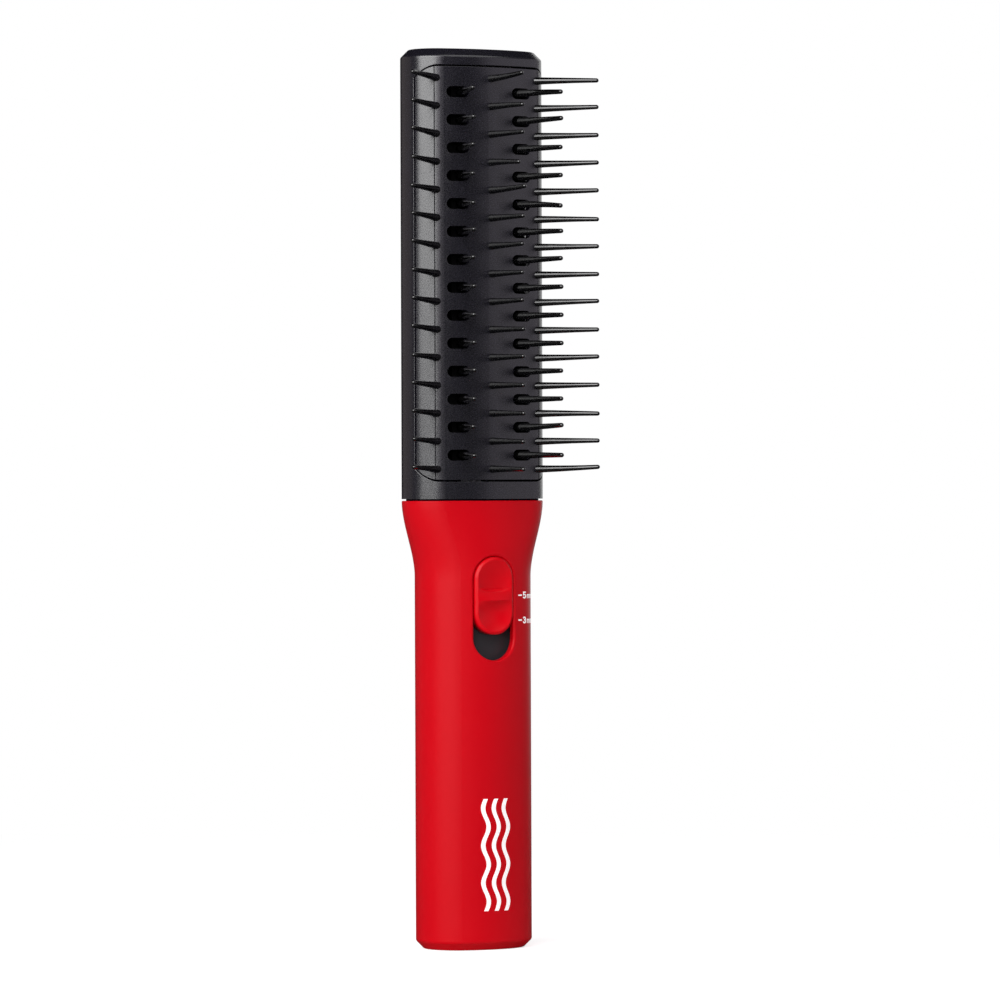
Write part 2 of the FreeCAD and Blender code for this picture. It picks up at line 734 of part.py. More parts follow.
def slider_button():
    """Thumb button with two scoops and a ridge, and two barbed legs that snap into the base."""
    middle = BUTTON_HIGH - BUTTON_LENGTH / 2
    radius = BUTTON_WIDTH / 2
    reach = BUTTON_LENGTH / 2 - radius
    low_out = BASE_TOP_OUT + BUTTON_LIFT
    start = place(0, low_out, middle - reach)
    finish = place(0, low_out, middle + reach)
    column = obround(start, finish, radius, place(0, HANDLE_OVAL[1], 0))
    body = column.common(oval_prism(button_section(), 0, TOTAL_LENGTH))
    top_edges = [edge for edge in body.Edges if -edge.BoundBox.YMax > low_out + BUTTON_EDGE]
    body = body.makeFillet(BUTTON_EDGE, top_edges)
    body = body.cut([dimple(-1), dimple(1)])
    legs = []
    for up in leg_ups():
        height = (up - LEG_THICK / 2, up + LEG_THICK / 2)
        barb = (height[0], height[1] + LEG_BARB)
        half = LEG_WIDTH / 2
        tip = BASE_LOW_OUT - LEG_TIP
        legs.append(block((-half, half), (tip, low_out + LEG_ROOT), height))
        legs.append(block((-half, half), (tip, BASE_LOW_OUT - LEG_CLEARANCE), barb))
    return body.fuse(legs).removeSplitter()


def detent_spring():
    """Arched steel leaf under the slider base."""
    rise = LEAF_END_OUT - LEAF_LOW_OUT - LEAF_THICK

    def arch(out, half):
        return Part.Arc(
            place(-LEAF_HALF_WIDTH, out + rise, DETENT_UP - half),
            place(-LEAF_HALF_WIDTH, out, DETENT_UP),
            place(-LEAF_HALF_WIDTH, out + rise, DETENT_UP + half),
        ).toShape()

    lower = arch(LEAF_LOW_OUT, LEAF_HALF_LENGTH)
    upper = arch(LEAF_LOW_OUT + LEAF_THICK, LEAF_HALF_LENGTH)
    ends = [Part.makeLine(lower.Vertexes[n].Point, upper.Vertexes[n].Point) for n in (0, 1)]
    outline = Part.Wire(Part.sortEdges([lower, upper] + ends)[0])
    return Part.Face(outline).extrude(Vector(2 * LEAF_HALF_WIDTH, 0, 0))


def handle_sleeve():
    """Soft-touch sleeve with a closed end, a slider window and a flared mouth."""
    top = SEAM_UP - SEAM_GAP / 2
    end = oval_taper(inset(HANDLE_OVAL, END_CHAMFER), 0, HANDLE_OVAL, END_CHAMFER)
    shaft = oval_prism(HANDLE_OVAL, END_CHAMFER, FLARE_UP)
    outside = end.fuse([shaft, handle_flare(0, FLARE_UP, top)]).removeSplitter()
    outside = round_levels(outside, EDGE_ROUND, (0, END_CHAMFER))
    outside = round_levels(outside, MOUTH_ROUND, (top,))
    rebate = SEAM_UP - SKIRT_LENGTH - SEAM_GAP
    bore = oval_prism(handle_section(0, HANDLE_WALL), HANDLE_END_WALL, FLARE_UP)
    throat = handle_flare(HANDLE_WALL, FLARE_UP, rebate)
    mouth = handle_flare(LIP_WALL, rebate, top)
    radius = WINDOW_WIDTH / 2
    low = window_low()
    high = low + window_length()
    window = obround(place(0, 0, low + radius), place(0, 0, high - radius), radius, place(0, BIG, 0))
    shank, head, height = END_SCREW
    plug_seat = Part.makeCylinder(PLUG_RADIUS, PLUG_THICK)
    head_seat = Part.makeCylinder(head + SCREW_CLEARANCE, PLUG_THICK + height)
    through = Part.makeCylinder(shank + SCREW_CLEARANCE, HANDLE_END_WALL)
    sleeve = outside.cut([bore, throat, mouth, plug_seat, head_seat, through]).removeSplitter()
    return round_window(sleeve.cut(window))


def round_window(sleeve):
    """Round the outer rim of the slider window."""
    half = WINDOW_WIDTH / 2 + RIM_TOLERANCE
    lowest = window_low() - RIM_TOLERANCE
    highest = window_low() + window_length() + RIM_TOLERANCE
    rim = []
    for edge in sleeve.Edges:
        box = edge.BoundBox
        outside = -box.YMin > surface_out(HANDLE_OVAL, WINDOW_WIDTH / 2) - RIM_TOLERANCE
        if outside and -half < box.XMin and box.XMax < half and lowest < box.ZMin and box.ZMax < highest:
            rim.append(edge)
    return sleeve.makeFillet(WINDOW_ROUND, rim)


def end_plug():
    """Cap that hides the end screw, flush with the bottom."""
    return Part.makeCylinder(PLUG_RADIUS - PLUG_CLEARANCE, PLUG_THICK - PLUG_CLEARANCE)


def end_screw():
    """Screw up through the sleeve's end into the frame's foot."""
    shank, head, height = END_SCREW
    under_head = PLUG_THICK + height
    cap = Part.makeCylinder(head, height, Vector(0, 0, PLUG_THICK))
    socket = Part.makeCylinder(shank, height / 2, Vector(0, 0, PLUG_THICK))
    stem = Part.makeCylinder(shank, END_SCREW_TIP_UP - under_head, Vector(0, 0, under_head))
    return cap.cut(socket).fuse(stem)


def pad_screws():
    """Six screws from the back of the frame, up its posts and into the pad's bosses."""
    shank, head, height = PAD_SCREW
    screws = []
    for across, up in post_places():
        seat = post_seat(across)
        cap = rod_out(head, across, (seat - height, seat), up)
        stem = rod_out(shank, across, (seat, POST_TOP_OUT + SCREW_BITE), up)
        screws.append(cap.fuse(stem))
    return Part.makeCompound(screws)


def post_seat(across):
    """Where the pad screws' heads bear, a little inside the back of the tray."""
    return PAD_SCREW[2] + PAD_SCREW_SUNK - surface_out(inset(HEAD_OVAL, TRAY_INSET), across)


def frame_handle_part():
    """Channel that runs down the handle, with grooves for the slider base and a foot for the end screw."""
    web = block((-FLANGE_HALF, FLANGE_HALF), (WEB_BACK, WEB_FRONT), (FOOT_UP, FLANGE_TOP_UP))
    flanges = both_sides((CHANNEL_HALF, FLANGE_HALF), (WEB_BACK, FLANGE_TOP), (FOOT_UP, FLANGE_TOP_UP))
    foot = block((-CHANNEL_HALF, CHANNEL_HALF), (WEB_FRONT, FLANGE_TOP), (FOOT_UP, FOOT_UP + FOOT_LENGTH))
    rib_low = DETENT_UP - SLIDER_TRAVEL - DETENT_RIB_PAST
    rib_high = DETENT_UP + DETENT_RIB_PAST
    rib = block((-DETENT_RIB_HALF, DETENT_RIB_HALF), (WEB_FRONT, DETENT_RIB_TOP), (rib_low, rib_high))
    notches = []
    for up in (DETENT_UP, DETENT_UP - SLIDER_TRAVEL):
        start = place(-BIG / 2, DETENT_RIB_TOP + DETENT_NOTCH_RADIUS - DETENT_NOTCH_DEPTH, up)
        notches.append(Part.makeCylinder(DETENT_NOTCH_RADIUS, BIG, start, Vector(1, 0, 0)))
    rib = rib.cut(notches)
    groove_across = (CHANNEL_HALF - CUT_MARGIN, TONGUE_HALF + GROOVE_CLEARANCE)
    groove_out = (BASE_LOW_OUT - GROOVE_CLEARANCE, TONGUE_HIGH_OUT + GROOVE_CLEARANCE)
    grooves = both_sides(groove_across, groove_out, (FOOT_UP + FOOT_LENGTH, FLANGE_TOP_UP))
    bore = Part.makeCylinder(END_SCREW[0], END_SCREW_TIP_UP + CUT_MARGIN - FOOT_UP, Vector(0, 0, FOOT_UP))
    return web.fuse(flanges + [foot, rib]).cut(grooves + [bore])


def frame_neck():
    """Part of the frame that fills the skirt, open in front for the slider base and the rod."""
    low = SEAM_UP - SKIRT_LENGTH + SEAM_GAP
    amount = SKIRT_INSET + SKIRT_WALL + NECK_GAP
    section = handle_section(SEAM_UP, amount)
    neck = handle_flare(amount, low, SEAM_UP).fuse(oval_prism(section, SEAM_UP, SEAM_UP + NECK_RISE))
    front = block((-BIG, BIG), (NECK_SIDE_OUT, BIG), (0, TOTAL_LENGTH))
    channel = block((-CHANNEL_HALF, CHANNEL_HALF), (WEB_FRONT, BIG), (0, TOTAL_LENGTH))
    back = block((-BIG, BIG), (-BIG, RIB_TOP_OUT), (0, TOTAL_LENGTH))
    joiner = oval_prism(section, SEAM_UP, TRAY_LOW_UP + RIB_THICK).common(back)
    bores = []
    for side in (-1, 1):
        across = side * NECK_SCREW_ACROSS
        bores.append(rod_out(NECK_SCREW[0], across, (-BIG, WEB_FRONT - SCREW_TIP_COVER), NECK_SCREW_UP))
    return neck.cut([front, channel]).fuse(joiner), bores


def frame_head_part():
    """Tray inside the head, with rails for the cam frame, ribs, and posts that carry the pad."""
    section = inset(HEAD_OVAL, TRAY_INSET)
    envelope = oval_prism(section, TRAY_LOW_UP, TRAY_TOP_UP)
    hollow = oval_prism(inset(section, TRAY_WALL), TRAY_LOW_UP, TRAY_TOP_UP)
    front = block((-BIG, BIG), (TRAY_SIDE_OUT, BIG), (0, TOTAL_LENGTH))
    tray = envelope.cut([hollow, front])
    height = (TRAY_LOW_UP, TRAY_TOP_UP)
    inner = both_sides((RAIL_INNER, RAIL_INNER + RAIL_WALL), (-HEAD_OVAL[1], TRAY_SIDE_OUT), height)
    for up in (TRAY_LOW_UP,) + RIB_UPS:
        inner.append(block((-RAIL_INNER, RAIL_INNER), (-HEAD_OVAL[1], RIB_TOP_OUT), (up, up + RIB_THICK)))
    for across, up in post_places():
        inner.append(rod_out(POST_BASE_RADIUS, across, (-HEAD_OVAL[1], POST_BASE_OUT), up))
        inner.append(rod_out(POST_RADIUS, across, (POST_BASE_OUT, POST_TOP_OUT), up))
    inner = [piece.common(envelope) for piece in inner]
    bores = []
    for across, up in post_places():
        bores.append(rod_out(PAD_SCREW[0] + SCREW_CLEARANCE, across, (-BIG, BIG), up))
        bores.append(rod_out(PAD_SCREW[1] + SCREW_CLEARANCE, across, (-BIG, post_seat(across)), up))
    return tray.fuse(inner), bores


def inner_frame():
    """One moulding from the foot of the handle to the top of the head; everything fastens to it."""
    neck, neck_bores = frame_neck()
    head, head_bores = frame_head_part()
    return frame_handle_part().fuse([neck, head]).cut(neck_bores + head_bores).removeSplitter()


def print_layer(low, high):
    """Skin of ink on the straight part of the handle."""
    outside = oval_prism(inset(HANDLE_OVAL, -PRINT_THICK), low, high)
    return outside.cut(oval_prism(HANDLE_OVAL, low, high))


def bowl(middle, radius, start, finish, steps=6):
    """Points round part of a circle, with angles in degrees."""
    points = []
    for step in range(steps + 1):
        angle = math.radians(start + (finish - start) * step / steps)
        points.append((middle[0] + radius * math.cos(angle), middle[1] + radius * math.sin(angle)))
    return points


def glyph_lines():
    """Each printed sign as lines of points, in digit heights from its lower left, before widening."""
    low, high = 0.28, 0.73
    five = [(0.55, 1.0), (0.08, 1.0), (0.04, 0.55)] + bowl((0.28, 0.32), 0.31, 125, -140)
    three = bowl((0.28, high), 0.25, 150, -80) + bowl((0.28, low), 0.28, 80, -150)
    letter_m = [[(0.0, 0.0), (0.0, 0.58)]]
    for middle in (0.19, 0.57):
        letter_m.append(bowl((middle, 0.39), 0.19, 180, 0, 4) + [(middle + 0.19, 0.0)])
    return {"dash": [[(0.0, 0.5), (0.55, 0.5)]], "5": [five], "3": [three], "m": letter_m}


def stroke(points, width, origin, right, outward):
    """Thick pen line through points, standing out of a tangent plane."""
    pieces = []
    for start, finish in zip(points, points[1:]):
        ends = []
        for across, up in (start, finish):
            offset = right * (across * DIGIT_HEIGHT * DIGIT_WIDEN)
            ends.append(origin + offset + Vector(0, 0, up * DIGIT_HEIGHT))
        pieces.append(obround(ends[0] - outward, ends[1] - outward, width / 2, outward * 2))
    return pieces


def oval_walk(section, distance):
    """Point, rightward tangent and outward normal at a distance round the oval from its front."""
    half_width, half_depth, end = section
    broad = broad_radius(section)
    turn = math.atan2(half_width - end, broad - half_depth)
    if distance <= broad * turn:
        angle = distance / broad
        point = (broad * math.sin(angle), half_depth - broad + broad * math.cos(angle))
    else:
        angle = turn + (distance - broad * turn) / end
        point = (half_width - end + end * math.sin(angle), end * math.cos(angle))
    right = place(math.cos(angle), -math.sin(angle), 0)
    outward = place(math.sin(angle), math.cos(angle), 0)
    return place(point[0], point[1], 0), right, outward


def height_marks():
    """White dash, number and unit beside the window at each of the slider's two settings."""
    glyphs = glyph_lines()
    advance = {"dash": 1.26, "5": 1.38, "3": 1.38, "m": 1.42}
    marks = []
    for number, up in zip("53", MARK_UPS):
        layer = print_layer(up - MARK_LAYER_HALF, up + MARK_LAYER_HALF)
        distance = MARK_START
        for sign in ("dash", number, "m", "m"):
            point, right, outward = oval_walk(HANDLE_OVAL, distance)
            origin = point + Vector(0, 0, up - DIGIT_HEIGHT / 2)
            width = LETTER_STROKE if sign == "m" else DIGIT_STROKE
            pieces = []
            for line in glyphs[sign]:
                pieces += stroke(line, width, origin, right, outward)
            sign_solid = pieces[0].multiFuse(pieces[1:]) if len(pieces) > 1 else pieces[0]
            marks += layer.common(sign_solid.removeSplitter()).Solids
            distance += advance[sign] * DIGIT_HEIGHT
    return Part.makeCompound(marks)


def wave_outline(middle):
    """Outline of one wavy upright line, its edges set off to each side of a sine."""
    length = WAVE_HIGH - WAVE_LOW
    sides = []
    for offset in (-WAVE_WIDTH / 2, WAVE_WIDTH / 2):
        points = []
        for step in range(WAVE_STEPS + 1):
            share = step / WAVE_STEPS
            swing = WAVE_SWING * math.sin(2 * math.pi * WAVE_PERIODS * share)
            points.append(place(middle + swing + offset, 0, WAVE_LOW + length * share))
        curve = Part.BSplineCurve()
        curve.interpolate(points)
        sides.append(curve.toShape())
    caps = [Part.makeLine(sides[0].Vertexes[n].Point, sides[1].Vertexes[n].Point) for n in (0, 1)]
    return Part.Wire(Part.sortEdges(sides + caps)[0])


def handle_mark():
    """Generic white print low on the handle: three wavy upright lines."""
    layer = print_layer(WAVE_LOW - 1, WAVE_HIGH + 1)
    marks = []
    for number in range(WAVE_COUNT):
        middle = (number - (WAVE_COUNT - 1) / 2) * WAVE_SPACING
        prism = Part.Face(wave_outline(middle)).extrude(place(0, BIG, 0))
        marks += layer.common(prism).Solids
    return Part.makeCompound(marks)


def parts():
    """Every node by name."""
    return {
        "head_shell": head_shell(),
        "pin_pad": pin_pad(),
        "fixed_pins_left": fixed_pins_side(-1),
        "fixed_pins_centre": fixed_pins_centre(),
        "fixed_pins_right": fixed_pins_side(1),
        "inner_frame": inner_frame(),
        "handle_sleeve": handle_sleeve(),
        "pad_screws": pad_screws(),
        "neck_screws": neck_screws(),
        "end_screw": end_screw(),
        "end_plug": end_plug(),
        "height_marks": height_marks(),
        "handle_mark": handle_mark(),
        "slider_button": slider_button(),
        "slider_base": slider_base(),
        "detent_spring": detent_spring(),
        "slide_rod": slide_rod(),
        "rod_screws": rod_screws(),
        "cam_frame": cam_frame(),
        "pin_lifter": pin_lifter(),
        "moving_pins_left": moving_pins(-1),
        "moving_pins_right": moving_pins(1),
        "cam_pins": cam_pins(),
    }


os.makedirs("parts", exist_ok=True)
for name, shape in parts().items():
    if not shape.isValid() or shape.Volume <= 0:
        print("not a valid solid:", name)
    shape.exportStep(os.path.join("parts", name + ".step"))
    print(name, len(shape.Solids), round(shape.Volume, 2))
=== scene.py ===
"""Looks for the adjustable styling brush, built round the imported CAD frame. Metres, +Z up, pins towards -Y.

Pins and the thumb button are made here as fine meshes. The other pieces are the frame's own, with new
materials.
Places on the brush are (across, out, up) in millimetres: across is +X, out is -Y, up is +Z.
"""

import json
import math
import random

import bmesh
import bpy
from mathutils import Matrix, Vector


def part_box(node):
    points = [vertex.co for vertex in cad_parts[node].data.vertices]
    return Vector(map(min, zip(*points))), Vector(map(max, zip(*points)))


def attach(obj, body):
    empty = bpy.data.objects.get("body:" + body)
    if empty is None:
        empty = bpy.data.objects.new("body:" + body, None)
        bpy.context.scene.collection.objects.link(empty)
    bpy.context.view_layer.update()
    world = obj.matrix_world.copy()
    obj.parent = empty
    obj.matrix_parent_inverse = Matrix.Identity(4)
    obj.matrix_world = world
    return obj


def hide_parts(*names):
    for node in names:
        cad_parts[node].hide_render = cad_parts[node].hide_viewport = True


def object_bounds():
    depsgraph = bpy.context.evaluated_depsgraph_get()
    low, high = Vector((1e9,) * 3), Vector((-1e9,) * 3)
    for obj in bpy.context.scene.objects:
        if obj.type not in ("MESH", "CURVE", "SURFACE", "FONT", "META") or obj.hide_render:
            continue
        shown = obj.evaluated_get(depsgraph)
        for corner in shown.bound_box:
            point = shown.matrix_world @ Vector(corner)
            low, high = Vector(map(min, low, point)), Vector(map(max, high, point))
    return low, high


MM = 0.001
SEED = 7

# The camera stands off to the pins' left, level with the middle of the brush.
CAMERA_AZIMUTH = math.radians(-29.5)
CAMERA_DISTANCE = 1.5
CAMERA_HEIGHT_SHARE = 0.516
SENSOR = 36.0
FRAME_WIDTH = 262.4 * MM
SHIFT_RIGHT = 0.0276
SHIFT_UP = -0.015
CAMERA_ROLL = math.radians(0.2)

# Sections of the head and of the button's top, as half width, half depth and the radius of the narrow ends.
HEAD_OVAL = (19.9, 10.8, 9.3)
BUTTON_OVAL = (16.24, 12.4, 11.4)

# Pin columns. Each comb's strip runs STRIP_END past its end pins. Lengths are in millimetres and leans in
# degrees.
FIXED_ROWS = 15
MOVING_ROWS = 14
STRIP_END = 2.6
SIDE_ACROSS = 15.1
SIDE_LEAN = 51.0
FIXED_LENGTH = 16.5
FIXED_ROOT = 3.0
FIXED_PROFILE = [(0.0, 1.0), (0.15, 0.9), (0.6, 0.7), (1.0, 0.57)]
MOVING_ACROSS = 8.4
MOVING_LEAN = 18.5
MOVING_LENGTH = 15.4
MOVING_ROOT = 6.5
MOVING_PROFILE = [(0.0, 0.95), (0.4, 0.85), (0.5, 0.76), (1.0, 0.6)]
PIN_SIDES = 20
PIN_STEPS = 14
TIP_STEPS = 5
STRIP_WIDTH = 2.2
STRIP_THICK = 1.2

# How far each column's tips stand above (or below) square, and the scatter from pin to pin, in degrees.
COLUMN_RISE = {"left": 1.9, "centre": -0.4, "right": 0.6, "moving_left": -0.2, "moving_right": 0.4}
TILT_SCATTER = 0.25
BEND_SCATTER = 0.08
# Pins bent by use, by column and row from the top: sideways and upward bow at the tip, in millimetres.
WORN_PINS = {
    ("centre", 0): (0.0, 0.7),
    ("centre", 3): (-0.9, -0.35),
    ("centre", 4): (0.5, 0.55),
    ("right", 0): (0.0, -0.25),
    ("right", 14): (0.0, 0.3),
    ("moving_right", 0): (0.0, -0.4),
    ("moving_right", 4): (-0.1, -0.8),
    ("moving_right", 5): (0.0, -0.3),
    ("moving_right", 12): (0.0, 0.4),
    ("moving_left", 4): (0.2, -0.3),
}

# Thumb button.
# Its edge is a soft chamfer, and the scoops start where that ends.
BUTTON_EDGE = 0.7
BUTTON_EDGE_DROP = 0.45
BUTTON_EDGE_CURVE = 1.4
BUTTON_HALF = 5.7
SCOOP_DEPTH = 1.5
SCOOP_TOP_SHARE = 0.4
# Heights from the button's middle: the ridge's sharp lower edge, and the crease where its face drops into the
# upper scoop, which rises towards the sides. The face tips up a little. Below the edge a flank curves into
# the lower scoop.
RIDGE_EDGE = -1.25
CREASE_MIDDLE = 1.65
CREASE_SIDE_RISE = 0.65
RIDGE_TIP = 0.5
RIDGE_ROUNDING = 9
CREASE_GAP = 0.03
LOWER_FLANK = 3.0
# How finely it is divided: rows up each straight side, steps round each end, and rings over its edge and top.
LOWER_ROWS = 14
SLOPE_ROWS = 14
UPPER_ROWS = 8
BUTTON_END_STEPS = 28
EDGE_RINGS = 9
TOP_RINGS = 20
# The column starts this far in front of the slider's base plate, and points closer than this are merged.
FOOT_CLEARANCE = 0.1
MERGE_DISTANCE = 0.001

# The black plastics shine a little more than plain ones. The shell's skirt starts at the seam; below it the
# gloss is switched off, painted shade that keeps the gap at the seam dark.
PLASTIC_INDEX = 1.58
SEAM_UP = 117.6

# Colours, as linear red, green and blue.
CHARCOAL = (0.0068, 0.006, 0.0108)
NYLON_BLACK = (0.0025, 0.0024, 0.0026)
HANDLE_RED = (0.6, 0.0, 0.006)
BUTTON_RED = (0.66, 0.0, 0.006)
FRAME_BLACK = (0.002, 0.002, 0.0022)
BASE_GREY = (0.024, 0.024, 0.028)
SPRING_STEEL = (0.5, 0.5, 0.52)
SCREW_STEEL = (0.45, 0.45, 0.46)
INK_WHITE = (0.86, 0.84, 0.84)
# Painted light: the print's faint glow keeps it white where the brush is in shade.
INK_PAINTED_GLOW_COLOUR = (1.0, 0.95, 0.95, 1.0)
INK_PAINTED_GLOW = 0.3
WHITE = (1.0, 1.0, 1.0, 1.0)
NOISE_LOW = 0.3
NOISE_HIGH = 0.7

# Plastic grain, in features per metre and depth in metres.
SHELL_GRAIN = 3600.0
FRAME_GRAIN = 2500.0
BASE_GRAIN = 3500.0
GRAIN_DEPTH = 0.01 * MM
COAT_TOOTH = 0.006 * MM
NYLON_WAVE = 0.02 * MM
# The pins' gloss fades from full where they face the viewer to weak at their edges.
GLOSS_FADE = (0.4, 0.95)
GLOSS_LEVELS = (1.0, 0.1)

# Studio lights: turn to the right of the camera and rise in degrees, distance, width and height in metres,
# radiance and colour.
NEUTRAL = (1.0, 1.0, 1.0)
COOL = (1.0, 0.93, 1.04)
WARM = (1.0, 0.87, 0.84)
SOFTBOXES = {
    "key": (-28, 25, 2.0, 2.25, 1.6, 4.4, NEUTRAL),
    "key_edge": (9, 25, 2.0, 0.5, 1.6, 1.3, COOL),
    "fill": (80, 12, 1.7, 1.7, 1.2, 0.4, COOL),
    "side_right": (118, 12, 1.7, 0.7, 1.2, 0.35, COOL),
    "back_right": (155, 12, 1.8, 1.3, 1.2, 0.95, NEUTRAL),
    "back_left": (-115, 12, 1.8, 2.0, 1.2, 0.22, WARM),
    "overhead": (50, 55, 1.6, 1.2, 0.9, 0.9, NEUTRAL),
}
ROOM_GLOW = 0.012

# Floor, in metres. The camera sees it brightened near the brush and pure white beyond, and reflections see it
# dimmed.
FLOOR_HALF = 30.0
FLOOR_DROP = 0.1 * MM
FLOOR_GREY = (0.8, 0.8, 0.8, 1.0)
FLOOR_GLOW = 0.74
WHITE_FADE = (0.1, 0.5)
DIM_FADE = (0.3, 2.5)
DIM_SHARES = (0.9, 0.45)


def node_tree(name):
    """New node material and its tree, with the Principled shader that it starts with."""
    material = bpy.data.materials.new(name)
    material.use_nodes = True
    tree = material.node_tree
    return material, tree, tree.nodes["Principled BSDF"]


def noise(tree, scale, detail=2.0, roughness=0.5):
    """Noise in object space, in features per metre."""
    coordinates = tree.nodes.new("ShaderNodeTexCoord")
    texture = tree.nodes.new("ShaderNodeTexNoise")
    texture.inputs["Scale"].default_value = scale
    texture.inputs["Detail"].default_value = detail
    texture.inputs["Roughness"].default_value = roughness
    tree.links.new(coordinates.outputs["Object"], texture.inputs["Vector"])
    return texture.outputs["Fac"]


def bump(tree, shader, height, depth):
    """Small surface relief, with its depth in metres."""
    relief = tree.nodes.new("ShaderNodeBump")
    relief.inputs["Distance"].default_value = depth
    tree.links.new(height, relief.inputs["Height"])
    tree.links.new(relief.outputs["Normal"], shader.inputs["Normal"])


def mapped(tree, value, source, target, ease="LINEAR"):
    """Maps a value from one range to another, each given as its low and high ends."""
    node = tree.nodes.new("ShaderNodeMapRange")
    node.interpolation_type = ease
    node.inputs["From Min"].default_value = source[0]
    node.inputs["From Max"].default_value = source[1]
    node.inputs["To Min"].default_value = target[0]
    node.inputs["To Max"].default_value = target[1]
    tree.links.new(value, node.inputs["Value"])
    return node.outputs["Result"]


def spread(tree, value, low, high):
    """Maps a noise value to a range."""
    return mapped(tree, value, (NOISE_LOW, NOISE_HIGH), (low, high))


def product(tree, first, second):
    """Product of two values, of which the second may be a plain number."""
    node = tree.nodes.new("ShaderNodeMath")
    node.operation = "MULTIPLY"
    tree.links.new(first, node.inputs[0])
    if isinstance(second, float):
        node.inputs[1].default_value = second
    else:
        tree.links.new(second, node.inputs[1])
    return node.outputs["Value"]


def mixed(tree, factor, first, second):
    """Mix of two shaders."""
    node = tree.nodes.new("ShaderNodeMixShader")
    tree.links.new(factor, node.inputs["Fac"])
    tree.links.new(first, node.inputs[1])
    tree.links.new(second, node.inputs[2])
    return node.outputs["Shader"]


def glow(tree, strength):
    """White emission of a given strength."""
    node = tree.nodes.new("ShaderNodeEmission")
    node.inputs["Strength"].default_value = strength
    return node.outputs["Emission"]


def tinted(tree, shader, colour, amount, scale):
    """Base colour that drifts a little lighter and darker."""
    blend = tree.nodes.new("ShaderNodeMix")
    blend.data_type = "RGBA"
    blend.inputs["A"].default_value = (*[c * (1 - amount) for c in colour], 1.0)
    blend.inputs["B"].default_value = (*[c * (1 + amount) for c in colour], 1.0)
    tree.links.new(spread(tree, noise(tree, scale), 0.0, 1.0), blend.inputs["Factor"])
    tree.links.new(blend.outputs["Result"], shader.inputs["Base Color"])


def grained_plastic(name, colour, roughness, level, grain):
    """Moulded plastic with a fine spark-eroded grain."""
    material, tree, shader = node_tree(name)
    tinted(tree, shader, colour, amount=0.12, scale=90.0)
    speckle = noise(tree, grain, detail=3.0, roughness=0.65)
    tree.links.new(spread(tree, speckle, roughness - 0.05, roughness + 0.05), shader.inputs["Roughness"])
    shader.inputs["IOR"].default_value = PLASTIC_INDEX
    shader.inputs["Specular IOR Level"].default_value = level
    bump(tree, shader, speckle, GRAIN_DEPTH)
    return material


def shell_plastic_painted_skirt_shade(name, colour, roughness, grain):
    """Grained plastic whose hidden skirt, below the seam, has no gloss: painted shade that keeps the seam's
    gap dark.
    """
    material = grained_plastic(name, colour, roughness, level=1.0, grain=grain)
    tree = material.node_tree
    coordinates = tree.nodes.new("ShaderNodeTexCoord")
    parts = tree.nodes.new("ShaderNodeSeparateXYZ")
    tree.links.new(coordinates.outputs["Object"], parts.inputs["Vector"])
    # Painted shade: the skirt below the seam gets no gloss, so the gap stays dark.
    above = tree.nodes.new("ShaderNodeMath")
    above.operation = "GREATER_THAN"
    above.inputs[1].default_value = SEAM_UP * MM
    tree.links.new(parts.outputs["Z"], above.inputs[0])
    tree.links.new(above.outputs["Value"], tree.nodes["Principled BSDF"].inputs["Specular IOR Level"])
    return material


def soft_touch(name, colour, roughness, level):
    """Soft-touch coat: broad low highlight and a very fine tooth."""
    material, tree, shader = node_tree(name)
    tinted(tree, shader, colour, amount=0.02, scale=30.0)
    sheen = spread(tree, noise(tree, scale=45.0), low=roughness - 0.02, high=roughness + 0.02)
    tree.links.new(sheen, shader.inputs["Roughness"])
    shader.inputs["Specular IOR Level"].default_value = level
    bump(tree, shader, noise(tree, scale=5000.0), COAT_TOOTH)
    return material


def gloss_nylon(name, colour):
    """Glossy nylon with the slight waviness of a moulded pin."""
    material, tree, shader = node_tree(name)
    tinted(tree, shader, colour, amount=0.2, scale=200.0)
    tree.links.new(spread(tree, noise(tree, scale=900.0), low=0.08, high=0.14), shader.inputs["Roughness"])
    shader.inputs["IOR"].default_value = PLASTIC_INDEX
    facing = tree.nodes.new("ShaderNodeLayerWeight")
    level = mapped(tree, facing.outputs["Facing"], GLOSS_FADE, GLOSS_LEVELS)
    tree.links.new(level, shader.inputs["Specular IOR Level"])
    bump(tree, shader, noise(tree, scale=450.0), NYLON_WAVE)
    return material


def ink(name):
    """Matt white print with a faint glow, painted light that keeps it white on the dark side."""
    material, tree, shader = node_tree(name)
    tinted(tree, shader, INK_WHITE, amount=0.03, scale=700.0)
    shader.inputs["Specular IOR Level"].default_value = 0.1
    shader.inputs["Emission Color"].default_value = INK_PAINTED_GLOW_COLOUR
    shader.inputs["Emission Strength"].default_value = INK_PAINTED_GLOW
    tree.links.new(spread(tree, noise(tree, scale=900.0), low=0.45, high=0.55), shader.inputs["Roughness"])
    return material


def steel(name, colour):
    """Plain steel with a slightly uneven polish."""
    material, tree, shader = node_tree(name)
    tinted(tree, shader, colour, amount=0.08, scale=400.0)
    shader.inputs["Metallic"].default_value = 1.0
    tree.links.new(spread(tree, noise(tree, scale=2500.0), low=0.25, high=0.4), shader.inputs["Roughness"])
    return material


